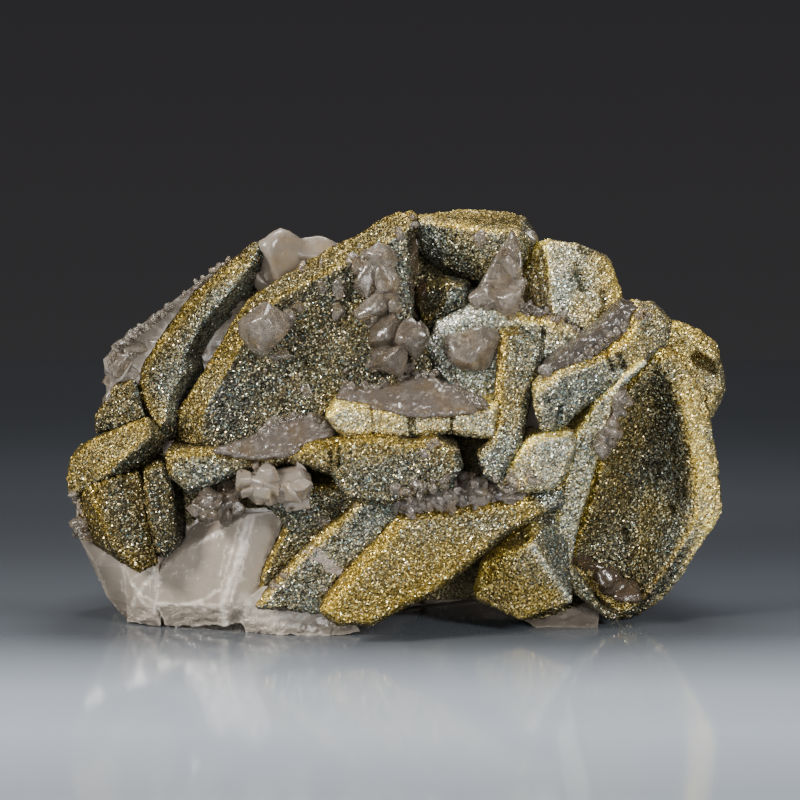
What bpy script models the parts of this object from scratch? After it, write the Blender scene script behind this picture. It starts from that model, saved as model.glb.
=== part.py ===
"""A cluster of thick calcite blades under a brassy druse, with clear calcite at its foot, rim and back.

Outlines are drawn in millimetres as an observer in front sees them: x to the right, z up from the
floor. Each piece also has its depth, y, and seen() carries an outline point back along the line of
sight to that depth, so the pieces line up from the front whatever their depth is.
"""

import math
import random

import bmesh
import bpy
from mathutils import Euler, Vector

# Driving dimensions, in millimetres and degrees
MM = 0.001
EYE_DISTANCE = 389.0
EYE_TILT = math.radians(7.0)
EYE_TARGET_HEIGHT = 38.5
CONTACT_GAP = 0.3
BACK_DEPTH = 32.0
FLOOR_TRIM = 0.3
MERGE = 0.00001
VOLUME_SLACK = 1.0
TINY_SHARE = 0.001
FLAT_ANGLE = math.radians(0.4)
CLEAVAGE_ANGLE = math.radians(75.0)
CLEAVAGE_TURN = math.radians(28.0)
CLEAVAGE_PITCH = math.radians(24.0)

COATED = ("druse", (0.45, 0.36, 0.17, 1.0), 0.35, 0.9)
CLEAR = ("clear_calcite", (0.80, 0.77, 0.74, 1.0), 0.15, 0.0)

parts = bpy.data.collections.new("coated_calcite_cluster")
cutters = bpy.data.collections.new("cutters")
built = []


def clear_scene():
    """Starts from an empty scene."""
    for ob in list(bpy.data.objects):
        bpy.data.objects.remove(ob, do_unlink=True)


def seen(x, z, y):
    """The point in space at depth y that an observer in front sees at x and z, all in millimetres."""
    eye = Vector((0, -EYE_DISTANCE * math.cos(EYE_TILT), EYE_DISTANCE * math.sin(EYE_TILT)))
    up = Vector((0, math.sin(EYE_TILT), math.cos(EYE_TILT)))
    on_plane = Vector((x, 0, 0)) + up * (z - EYE_TARGET_HEIGHT)
    ray = on_plane - eye
    point = eye + ray * ((y - eye.y) / ray.y)
    return Vector((point.x, point.y, point.z + EYE_TARGET_HEIGHT))


def depth_at(plane, x, z):
    """Depth of a leaning plane: its depth at x = z = 0, and how it deepens with x and with z."""
    start, per_x, per_z = plane
    return start + per_x * x + per_z * z


def material(kind):
    """The kind's own material, made once."""
    name, colour, roughness, metallic = kind
    found = bpy.data.materials.get(name)
    if found:
        return found
    made = bpy.data.materials.new(name)
    made.use_nodes = True
    shader = made.node_tree.nodes["Principled BSDF"]
    shader.inputs["Base Color"].default_value = colour
    shader.inputs["Roughness"].default_value = roughness
    shader.inputs["Metallic"].default_value = metallic
    return made


def solid(name, bm, kind):
    """An object from a bmesh in millimetres, closed and facing outwards."""
    bmesh.ops.scale(bm, vec=(MM, MM, MM), verts=bm.verts)
    bmesh.ops.triangulate(bm, faces=bm.faces)
    bmesh.ops.recalc_face_normals(bm, faces=bm.faces)
    mesh = bpy.data.meshes.new(name)
    bm.to_mesh(mesh)
    bm.free()
    ob = bpy.data.objects.new(name, mesh)
    ob.data.materials.append(material(kind))
    parts.objects.link(ob)
    return ob


def turn_sign(outline):
    """+1 for an outline that runs anticlockwise, -1 for clockwise."""
    pairs = zip(outline, outline[1:] + outline[:1])
    return 1 if sum(a[0] * b[1] - b[0] * a[1] for a, b in pairs) > 0 else -1


def inset(outline, width):
    """The outline drawn in by a width, corner by corner."""
    sign = turn_sign(outline)
    count = len(outline)
    drawn = []
    for i in range(count):
        here = Vector(outline[i])
        before = (here - Vector(outline[i - 1])).normalized()
        after = (Vector(outline[(i + 1) % count]) - here).normalized()
        inward = (Vector((-before.y, before.x)) + Vector((-after.y, after.x))) * sign
        if inward.length < 0.5:
            inward = (before - after) * -1
        cosine = max(inward.length / 2, 0.6)
        drawn.append(tuple(here + inward.normalized() * (width / cosine)))
    return drawn


def loft(name, rings, kind, front_push=None):
    """A closed solid through rings of points, front ring first. front_push moves the front's middle."""
    bm = bmesh.new()
    rows = [[bm.verts.new(p) for p in ring] for ring in rings]
    count = len(rows[0])
    for near, far in zip(rows, rows[1:]):
        for i in range(count):
            j = (i + 1) % count
            bm.faces.new((near[i], near[j], far[j], far[i]))
    if front_push is None:
        bm.faces.new(list(reversed(rows[0])))
    else:
        middle = bm.verts.new(sum((v.co for v in rows[0]), Vector()) / count + Vector(front_push))
        for i in range(count):
            bm.faces.new((rows[0][i], middle, rows[0][(i + 1) % count]))
    bm.faces.new(rows[-1])
    return solid(name, bm, kind)


def blade(name, outline, plane, sweep, rim=1.2, taper=0.94, kind=COATED, front_push=None, face=None):
    """A tabular crystal: its outline on a leaning plane, bevelled rims, and a sweep to its back.

    An outline point may carry a third number, how much deeper than the plane it lies. face is the
    outline of the front face, for a crystal whose bevels aren't all of one width.
    """
    sweep = Vector(sweep)
    rim_step = sweep.normalized() * rim
    deeper = [point[2] if len(point) > 2 else 0 for point in outline]
    outline = [point[:2] for point in outline]
    inner = face or inset(outline, rim)
    front = [seen(x, z, depth_at(plane, x, z)) for x, z in inner]
    girdle = [
        seen(x, z, depth_at(plane, x, z) + more) + rim_step for (x, z), more in zip(outline, deeper)
    ]
    middle = sum(girdle, Vector()) / len(girdle)
    far_girdle = [middle + (p - middle) * taper + sweep - 2 * rim_step for p in girdle]
    back = [middle + (p - middle) * taper * 0.93 + sweep for p in front]
    return loft(name, [front, girdle, far_girdle, back], kind, front_push)


def block(name, corners, kind=COATED):
    """A blocky crystal with flat faces: the convex solid on its corners, each seen at (x, z, depth)."""
    bm = bmesh.new()
    verts = [bm.verts.new(seen(*corner)) for corner in corners]
    hull = bmesh.ops.convex_hull(bm, input=verts)
    loose = [v for v in hull["geom_interior"] if isinstance(v, bmesh.types.BMVert)]
    bmesh.ops.delete(bm, geom=loose, context="VERTS")
    return solid(name, bm, kind)


def rhomb(name, place, size, kind=CLEAR):
    """A cleavage rhomb with its corner at a place seen from in front. All rhombs lie parallel."""
    across = Vector((1, 0, 0))
    back = Vector((math.cos(CLEAVAGE_ANGLE), math.sin(CLEAVAGE_ANGLE), 0))
    lean = math.cos(CLEAVAGE_ANGLE)
    up = Vector((lean, lean * 0.6, math.sqrt(1 - lean * lean * 1.36)))
    bm = bmesh.new()
    bmesh.ops.create_cube(bm, size=1.0)
    for v in bm.verts:
        a, b, c = v.co.x * size[0], v.co.y * size[1], v.co.z * size[2]
        v.co = across * a + back * b + up * c
        v.co.rotate(Euler((CLEAVAGE_PITCH, 0, CLEAVAGE_TURN)))
        v.co += seen(*place)
    return solid(name, bm, kind)


def crystal_lump(name, place, size, seed, kind=CLEAR, corners=13):
    """A small clear crystal with flat faces: corners scattered on an ellipsoid by a seeded draw."""
    draw = random.Random(seed)
    centre = seen(*place)
    bm = bmesh.new()
    verts = []
    for i in range(corners):
        height = 1 - 2 * (i + 0.5) / corners
        around = i * 2.4 + draw.uniform(-0.4, 0.4)
        ring = math.sqrt(1 - height * height)
        reach = draw.uniform(0.86, 1.0)
        spot = Vector((ring * math.cos(around), ring * math.sin(around), height)) * reach
        verts.append(bm.verts.new(centre + Vector([spot[k] * size[k] / 2 for k in range(3)])))
    hull = bmesh.ops.convex_hull(bm, input=verts)
    loose = [v for v in hull["geom_interior"] if isinstance(v, bmesh.types.BMVert)]
    bmesh.ops.delete(bm, geom=loose, context="VERTS")
    return solid(name, bm, kind)


def solved(ob, other, operation, solver):
    """The mesh of a solid joined with or cut by another, by one solver."""
    step = ob.modifiers.new(operation.lower(), "BOOLEAN")
    step.operation = operation
    step.solver = solver
    step.object = other
    graph = bpy.context.evaluated_depsgraph_get()
    mesh = bpy.data.meshes.new_from_object(ob.evaluated_get(graph))
    ob.modifiers.clear()
    return mesh


def boolean(ob, other, operation):
    """Joins or cuts a solid by another, at once, and drops the other if it was joined.

    The exact solver's result is kept unless the two solvers disagree on the volume, which shows
    that the exact one missed the cut.
    """
    mesh = solved(ob, other, operation, "EXACT")
    second = solved(ob, other, operation, "MANIFOLD")
    if abs(mesh_volume(mesh) - mesh_volume(second)) > VOLUME_SLACK * MM ** 3:
        mesh, second = second, mesh
    bpy.data.meshes.remove(second)
    old = ob.data
    ob.data = mesh
    bpy.data.meshes.remove(old)
    if operation == "UNION":
        bpy.data.objects.remove(other, do_unlink=True)


def mesh_volume(mesh):
    """Volume inside a closed mesh, in cubic metres."""
    bm = bmesh.new()
    bm.from_mesh(mesh)
    bmesh.ops.triangulate(bm, faces=bm.faces)
    total = volume_of(bm.faces)
    bm.free()
    return total


def join_all(ob, others):
    """One solid from a solid and those grown together with it."""
    for other in others:
        boolean(ob, other, "UNION")
    return ob


def grown(ob):
    """A cutter: the solid swollen by the contact gap."""
    bm = bmesh.new()
    bm.from_mesh(ob.data)
    bm.normal_update()
    moves = [v.normal * (CONTACT_GAP * MM * min(v.calc_shell_factor(), 2.5)) for v in bm.verts]
    for v, move in zip(bm.verts, moves):
        v.co += move
    mesh = bpy.data.meshes.new(ob.name + "_cutter")
    bm.to_mesh(mesh)
    bm.free()
    cutter = bpy.data.objects.new(mesh.name, mesh)
    cutter.hide_render = True
    cutter.display_type = "WIRE"
    cutters.objects.link(cutter)
    return cutter


def corners_of(ob):
    """Lowest and highest corners of a solid."""
    spots = [v.co for v in ob.data.vertices]
    low = Vector([min(p[k] for p in spots) for k in range(3)])
    high = Vector([max(p[k] for p in spots) for k in range(3)])
    return low, high


def boxes_meet(a, b):
    """True where two solids' boxes come within the gap of each other."""
    reach = CONTACT_GAP * MM
    return all(
        a[0][k] - reach < b[1][k] and b[0][k] - reach < a[1][k] for k in range(3)
    )


def tidy(ob):
    """Keeps a solid's largest body, and merges what a cut leaves flat or tiny while it stays closed."""
    for merge, flat in ((MERGE, FLAT_ANGLE), (MERGE, 0), (MERGE / 10, FLAT_ANGLE), (MERGE / 10, 0)):
        bm = bmesh.new()
        bm.from_mesh(ob.data)
        bmesh.ops.remove_doubles(bm, verts=bm.verts, dist=merge)
        if flat:
            bmesh.ops.dissolve_limit(bm, angle_limit=flat, verts=bm.verts, edges=bm.edges)
        bmesh.ops.dissolve_degenerate(bm, dist=merge, edges=bm.edges)
        bmesh.ops.triangulate(bm, faces=bm.faces)
        bodies = islands(bm)
        bodies.sort(key=lambda body: abs(volume_of(body)))
        spare = [face for body in bodies[:-1] for face in body]
        bmesh.ops.delete(bm, geom=spare, context="FACES")
        bmesh.ops.recalc_face_normals(bm, faces=bm.faces)
        closed = all(len(edge.link_faces) == 2 for edge in bm.edges)
        if closed:
            bm.to_mesh(ob.data)
        bm.free()
        if closed:
            return
    print(ob.name, "is open after its cuts")


def islands(bm):
    """Lists of faces that hang together."""
    left = set(bm.faces)
    bodies = []
    while left:
        start = left.pop()
        body, edge_of = [start], [start]
        while edge_of:
            face = edge_of.pop()
            for edge in face.edges:
                for near in edge.link_faces:
                    if near in left:
                        left.discard(near)
                        body.append(near)
                        edge_of.append(near)
        bodies.append(body)
    return bodies


def volume_of(faces):
    """Signed volume inside triangles."""
    total = 0.0
    for face in faces:
        a, b, c = (v.co for v in face.verts)
        total += a.dot(b.cross(c)) / 6
    return total


def shared_volume(ob, other):
    """Volume that two solids have in common, in cubic metres."""
    mesh = solved(ob, other, "INTERSECT", "MANIFOLD")
    shared = mesh_volume(mesh)
    bpy.data.meshes.remove(mesh)
    return shared


def fit(ob):
    """Cuts a new piece clear of every piece built before it, and adds it to them.

    At a knife edge a swollen cutter can fall short, so a piece that still meets its neighbour is
    cut by the neighbour itself too.
    """
    for older in built:
        if not boxes_meet(corners_of(ob), corners_of(older)):
            continue
        cutter = grown(older)
        boolean(ob, cutter, "DIFFERENCE")
        bpy.data.objects.remove(cutter, do_unlink=True)
        if shared_volume(ob, older) > TINY_SHARE * MM ** 3:
            boolean(ob, older, "DIFFERENCE")
    tidy(ob)
    built.append(ob)
    return ob


def front_blades():
    """The blades nearest the observer, which keep their whole shape."""
    fit(blade(
        "front_blade",
        [(-14, 1), (-10.5, 6), (-5, 12), (0.5, 18.5), (5, 19), (14.5, 20.5), (21, 21.5), (28.5, 23),
         (29, 19.5), (19, 14.5), (13, 9.5), (7, 4.5), (0, 1), (-5, -1.8), (-11, -1.5)],
        plane=(-24.5, 0.02, 0.29), sweep=(0, 8, 3), rim=1.3,
    ))
    fit(blade(
        "small_plate",
        [(23.5, 32), (27, 32.5), (30, 33), (31, 30.5), (28, 23.5), (25.5, 22.5), (18, 22.5),
         (16.5, 24.5), (18.5, 27), (21.5, 30.5)],
        plane=(-22.5, 0.02, 0.08), sweep=(0, 9, 0), rim=0.8,
    ))
    fit(blade(
        "upright_blade",
        [(17.5, 50.5), (21, 51), (25, 48), (24, 43), (22.5, 38), (21, 30), (17.5, 23.5), (14.5, 25),
         (13.5, 28.5), (16, 31.5), (16.5, 38.5), (17, 44.5)],
        plane=(-30.5, 0, 0.35), sweep=(1, 10, 1), rim=1.0,
    ))
    fit(blade(
        "upper_shelf_blade",
        [(-11, 38), (-5, 37.2), (-0.5, 36.7), (2.5, 37), (6.5, 36.2), (12, 37), (17.5, 38), (17, 31.5),
         (9, 32.5), (6, 32.5), (2.5, 31.5), (-2, 31.7), (-5, 32.2), (-9.5, 32), (-11.2, 33), (-13, 35.5)],
        plane=(-21.5, 0.05, 0.05), sweep=(0, 18, 2), rim=0.9,
    ))
    fit(blade(
        "lower_shelf_blade",
        [(-41, 29), (-34.5, 29.5), (-25, 29), (-18.5, 30), (-11, 31.5), (-6.5, 32), (-3, 32),
         (1.5, 31), (6.5, 31.3), (10, 29.5), (11, 26.5), (9, 22.8), (3.5, 21.5), (-2.5, 20),
         (-9.5, 21), (-12, 25), (-16.5, 27), (-20.5, 27.3), (-23.5, 26.3), (-26.5, 26.3),
         (-33, 23.5), (-37, 22), (-40.5, 25)],
        plane=(-25.5, -0.14, 0.12), sweep=(0, 20, 2.5), rim=0.9,
    ))
    fit(blade(
        "diagonal_blade",
        [(23.5, 40), (27.5, 43), (31.5, 44.5), (36, 46.5), (40, 50), (41, 53), (42, 54), (45.5, 53.5),
         (47.5, 52), (47, 48), (44, 46), (39.5, 42), (35, 39), (30.5, 35.5), (28, 33), (25, 33),
         (24, 36)],
        plane=(-26.5, 0.26, 0), sweep=(0, 10, 2), rim=1.0,
    ))
    fit(blade(
        "narrow_blade",
        [(44, 46), (38, 40), (35.5, 30.5), (32, 19), (30.5, 13), (30, 9.5), (33, 5.5), (35.5, 2),
         (38.5, 0.6), (37, -0.2), (30.5, 5), (27.5, 10), (27.5, 16), (28.5, 23), (30, 28), (31, 33),
         (34.5, 38), (39.5, 43)],
        plane=(-10, 0, -0.17), sweep=(-2, 12, 0), rim=0.5,
    ))


def left_blades():
    """The stack of short blades on the left, and the long one that leans over it."""
    fit(block(
        "ledge_blade",
        [(-57.5, 28, -11), (-54.5, 31, -11), (-46, 35, -14), (-44, 35.4, -14), (-44, 32, -17.5),
         (-46, 30, -18), (-51, 25.5, -16), (-55, 24.5, -13), (-57.5, 21.8, -11), (-58, 24.5, -11),
         (-41, 32, -13), (-44.5, 26, -11), (-45, 34, 0), (-56, 30, 1), (-56, 22, 0), (-44, 27, 0)],
    ))
    fit(blade(
        "small_left_blade",
        [(-45, 26.5), (-43, 27.5), (-41, 27), (-40, 23.5), (-39.5, 16.5), (-39.5, 13), (-41, 11),
         (-42.5, 11), (-44, 15.5), (-44.8, 20)],
        plane=(-19, 0, 0.12), sweep=(1, 9, 0), rim=0.9,
    ))
    fit(block(
        "lower_left_blade",
        [(-56, 23, -8), (-54.5, 23, -14), (-50.5, 25, -15), (-46, 26, -14.5), (-44.5, 24.5, -14),
         (-44, 17.5, -16), (-44, 13.5, -17), (-42.5, 10, -17), (-45.5, 8.5, -19), (-48, 11, -16),
         (-53.5, 13.5, -11), (-56.5, 16, -7), (-56.5, 20, -7), (-50.5, 13, -17.5), (-52.5, 17.5, -16.5),
         (-54, 22, 2), (-46, 25, 1), (-46, 11, -2), (-55, 17, 1)],
    ))
    fit(blade(
        "upper_left_blade",
        [(-25.5, 66, 1), (-24, 66, 2), (-23.3, 64, 3), (-25, 61.5, 4), (-29, 55.5, 5), (-33, 51, 5),
         (-35.5, 46.5, 5), (-35.5, 44, 4), (-39, 38.5, 3), (-40, 33, 2), (-41.5, 31.5, 1), (-44, 35),
         (-46, 38.5), (-46, 44.5), (-42, 50.5), (-34, 59.5), (-28.5, 64)],
        face=[(-26, 64.6), (-25, 64.6), (-25, 63.2), (-27, 61), (-31.4, 55.8), (-35, 51.2),
              (-37.8, 46.4), (-38, 43.6), (-40.4, 38.8), (-41.2, 34.6), (-41.8, 33.2), (-43.4, 35.6),
              (-45, 38.9), (-45, 44.2), (-41.2, 49.8), (-33.4, 58.6), (-28.2, 62.8)],
        plane=(-42, -0.34, 0.43), sweep=(2, 9, -2), rim=1.0,
    ))
    fit(block(
        "left_rim_blade",
        [(-53, 33, -9), (-53, 35.5, -9), (-51, 37.5, -9), (-50, 41, -9), (-46.5, 42, -10),
         (-44.5, 35, -13), (-48, 34, -13), (-52, 34, 2), (-49, 41, 2), (-45, 36, 2)],
    ))


def upper_blades():
    """The great blade and the blocks along the top."""
    fit(blade(
        "arch_blade",
        [(5, 47), (6.5, 51.5), (11.5, 54), (14.5, 55.5), (18, 54.5), (22, 53), (27.5, 52.7),
         (31, 50.7), (33, 49.5), (33, 47), (27.5, 46), (22, 44), (17.5, 40), (16, 37), (12, 37),
         (9, 39.5), (6.5, 43)],
        plane=(-16, 0, 0.09), sweep=(0, 8, 1), rim=1.0,
    ))
    fit(blade(
        "great_blade",
        [(-39, 36.5, 3), (-34, 44, 3), (-30, 51, 3.5), (-26.5, 56, 4), (-22.5, 58.8, 4.5),
         (-17.5, 62, 5), (-11.5, 65.5, 5), (-7, 67.5, 5), (-2.5, 70.3, 5), (0, 71.4, 4),
         (2.4, 71.7, 3), (3.2, 71, 2), (2.2, 66.5, 1), (2.2, 61, 1), (2.2, 52.5, 1), (5, 46), (6, 40),
         (0, 36), (-10.5, 33), (-17.5, 31.5), (-25.5, 29.5), (-33, 28.5, 1), (-38.5, 29.5, 3)],
        face=[(-34.6, 36), (-30.5, 43), (-27, 49.5), (-24, 54), (-20.5, 56.6), (-16.5, 58.8),
              (-11.5, 61.2), (-7, 63.2), (-2.5, 65.6), (-0.8, 67), (0.8, 68.2), (1.4, 68.2),
              (1.0, 65.8), (1.0, 61), (1.0, 52.5), (3.6, 46), (4.4, 40.5), (-0.5, 37.2),
              (-10.5, 34.5), (-17.5, 33), (-25.5, 31), (-31.5, 30.4), (-34.4, 31.2)],
        plane=(-17.5, -0.03, 0.07), sweep=(0, 11, -3), rim=1.0, front_push=(0, 2.2, 0),
    ))
    fit(block(
        "top_block",
        [(3.5, 69.5, -4), (9, 69, -5), (14.5, 67.5, -6), (21, 67.5, -6), (24, 66.5, -2),
         (21.5, 62.5, -3), (18.5, 61.5, -4), (16, 59, -3), (12, 60, -2), (3.5, 65, -1),
         (3, 70.7, 9), (12, 71.7, 11), (18.5, 71.2, 11), (22, 70.2, 9), (24, 67, 6),
         (5, 60, 10), (20, 60, 11), (12, 58, 8)],
    ))
    fit(block(
        "right_block",
        [(23, 65.5, -1), (25.5, 66.3, -6), (31, 65.5, -5), (34.5, 64, -4), (37, 62, -3),
         (38.5, 57.5, -4), (39, 53.5, -6), (34.5, 50, -9), (32.5, 51, -9), (27, 53.5, -9),
         (24, 54, -4), (21.5, 55, 1), (20.5, 62.5, 2), (26, 66.5, 9), (36, 63.5, 9),
         (39, 54, 8), (30, 50, 8), (22, 56, 9)],
    ))
    fit(block(
        "cave_blade",
        [(3, 56, 0), (4.5, 58.5, -1), (8, 60, -3), (12, 59.3, -3), (13.5, 56, -3), (12, 53.5, -5),
         (8, 51.5, -5), (4.5, 51, -3), (8.5, 58.3, -6), (11.3, 58.3, -6), (11.3, 55, -6.5),
         (8, 55, -6.5), (4, 58, 8), (12, 59, 8), (12, 52, 8), (4, 52, 8)],
    ))


def right_blades():
    """The shield blade on the right, its shoulder, and the wedge that stands beside its foot."""
    fit(blade(
        "shield_blade",
        [(44.5, 47), (46.5, 47), (48.5, 46), (51.5, 42), (54.3, 36.5), (56.3, 25.5), (56.6, 18.5),
         (55, 16), (52.2, 11.5), (50, 8), (46, 3.2), (42, 0.5), (38.5, -0.4), (35, 1.5), (29, 7),
         (29, 12), (32.5, 21), (35, 31.5), (38, 39.5), (42, 45)],
        face=[(44.5, 45.5), (45.5, 45), (46.5, 43.5), (48, 40.5), (50, 36), (52.3, 25.5), (52.5, 19),
              (51.8, 16.5), (49, 12), (47, 8.8), (43.5, 4.3), (41, 2.1), (38.5, 1.5), (36, 3),
              (31, 8), (31, 12), (34, 21), (36.5, 31), (39.5, 38.8), (43, 44)],
        plane=(3.5, -0.25, 0), sweep=(-2, 14, 1), rim=1.6, front_push=(1, 7.5, 0),
    ))
    fit(blade(
        "shoulder_blade",
        [(44.5, 52.5), (47.5, 52.5), (50, 52), (53, 50.5), (56, 48), (57, 44), (57.5, 40.5),
         (56.5, 38), (54.5, 34.5), (51.5, 33), (48, 36), (44.5, 45.5)],
        plane=(-5, 0, 0), sweep=(-4, 16, -2), rim=1.5,
    ))
    fit(block(
        "foot_wedge",
        [(14.5, 10, -12), (23, 13.5, -18), (30, 3.2, -16), (21, 0.2, -15), (13.5, 3.5, -12),
         (13, 5, -11), (23, 18, -13), (28.5, 19, -11), (28.5, 10, -12), (15, 11, -2),
         (22, 3, -2), (29, 5, -3), (28, 18, -2), (20, 17, -2)],
    ))
    fit(blade(
        "hollow_blade",
        [(-25.5, 23), (-16, 23), (-8, 23.5), (-3, 22), (-4, 19), (-11, 15), (-17, 9), (-21, 6),
         (-25, 2), (-24, 8), (-20, 16)],
        plane=(-14, 0.05, -0.05), sweep=(0, 8, 2), rim=0.6,
    ))
    fit(blade(
        "leaning_blade",
        [(-25.5, 1.8), (-20, 8.5), (-17.5, 11), (-11, 17), (-7.5, 20), (-4, 22), (1, 21.5),
         (2, 17.5), (-4.5, 10.5), (-9, 3.5), (-13.5, 0.8), (-21, 1.4)],
        plane=(-20.5, 0.02, 0.12), sweep=(2, 9, 3), rim=0.8,
    ))


def crystal_group(name, lumps, first_seed):
    """Small clear crystals grown together: (x, z, depth) and (width, depth, height) of each."""
    made = [crystal_lump(name, place, size, first_seed + i) for i, (place, size) in enumerate(lumps)]
    return fit(join_all(made[0], made[1:]))


def clear_crystals():
    """The second growth of clear calcite that sits on the blades."""
    fit(block(
        "clear_spike",
        [(18.5, 67, -9), (21, 67, -9), (21.6, 63.5, -10), (21.6, 58, -11), (21.5, 54, -12),
         (17.5, 54, -12), (12, 55, -11), (13.5, 58.3, -9), (17, 60, -9), (18, 61.5, -9),
         (19, 66, -3), (20, 56, -2), (14, 56, -3)],
        CLEAR,
    ))
    fit(blade(
        "upper_shelf_druse",
        [(-12, 37.5), (-10, 41), (-5, 40.5), (0, 41), (2, 42.5), (5, 43), (7, 41.5), (10.5, 40.7),
         (14, 39), (16, 37.5), (12, 36), (4, 35.5), (-4, 36)],
        plane=(-42, 0, 0.6), sweep=(0, 8, -1), rim=0.5, kind=CLEAR,
    ))
    fit(blade(
        "lower_shelf_druse",
        [(-33, 29.5), (-26, 32), (-22, 34.5), (-18.5, 35.5), (-15, 35.5), (-12.3, 34), (-10.5, 31.5),
         (-16, 29), (-26, 28)],
        plane=(-37.5, 0, 0.6), sweep=(0, 8, -1), rim=0.5, kind=CLEAR,
    ))
    fit(blade(
        "diagonal_druse",
        [(25, 43.5), (29.5, 47), (35, 51), (39, 55), (43, 54.5), (45.5, 54), (40, 49), (34, 45),
         (27, 41)],
        plane=(-26, 0.28, 0), sweep=(0, 7, 1), rim=0.5, kind=CLEAR,
    ))
    fit(blade(
        "arch_druse",
        [(21.5, 55), (25.5, 54), (28, 53.3), (31, 51.6), (29.5, 49.5), (24.5, 51)],
        plane=(-10, 0, 0), sweep=(0, 6, 0), rim=0.4, kind=CLEAR,
    ))
    crystal_group("left_face_crystals", [
        ((-23.2, 51.8, -13.5), (8.4, 5, 7.6)),
        ((-20.2, 47.4, -14), (4.6, 4, 3.6)),
    ], 10)
    crystal_group("upper_face_crystals", [
        ((-4.5, 62, -13.5), (8, 5, 7.5)),
        ((-2.5, 57, -13.5), (7.4, 5, 8)),
    ], 20)
    crystal_group("lower_face_crystals", [
        ((-2.4, 51.2, -13.5), (8, 7, 6)),
        ((2.2, 49.2, -14.5), (7.6, 7, 7.4)),
        ((-2.2, 46, -15), (7.8, 7, 6)),
    ], 24)
    crystal_group("arch_crystal", [((13.2, 47.4, -12), (8.4, 4.5, 7))], 30)
    crystal_group("hollow_crystals", [
        ((-19.5, 23.6, -18.5), (12, 8, 8)),
        ((-24, 23.4, -18), (8, 8, 8)),
    ], 40)
    crystal_group("left_hollow_crystals", [
        ((-33.2, 19.6, -16.5), (7.8, 8, 7.4)),
        ((-29.5, 21, -15), (6, 8, 6)),
    ], 44)
    crystal_group("front_crystals", [
        ((1.5, 21, -17.5), (9.4, 8, 6)),
        ((7.4, 21.4, -16.6), (9.4, 9, 6.6)),
        ((13, 22.3, -16), (9.4, 9, 6.8)),
        ((19, 22.2, -15.4), (10, 9, 6.2)),
    ], 57)
    crystal_group("narrow_blade_crystals", [
        ((38, 38, -15), (3.4, 6, 6.4)),
        ((37, 34, -15), (4, 6, 5.6)),
        ((35.6, 30, -14.5), (4, 6, 5.6)),
    ], 60)
    crystal_group("foot_crystals", [
        ((32.6, 9.6, -6), (6, 6, 4.4)),
        ((36.6, 7.4, -7), (6.4, 6, 4.6)),
        ((40, 5.2, -7.5), (5.6, 6, 4.8)),
    ], 70)


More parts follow.
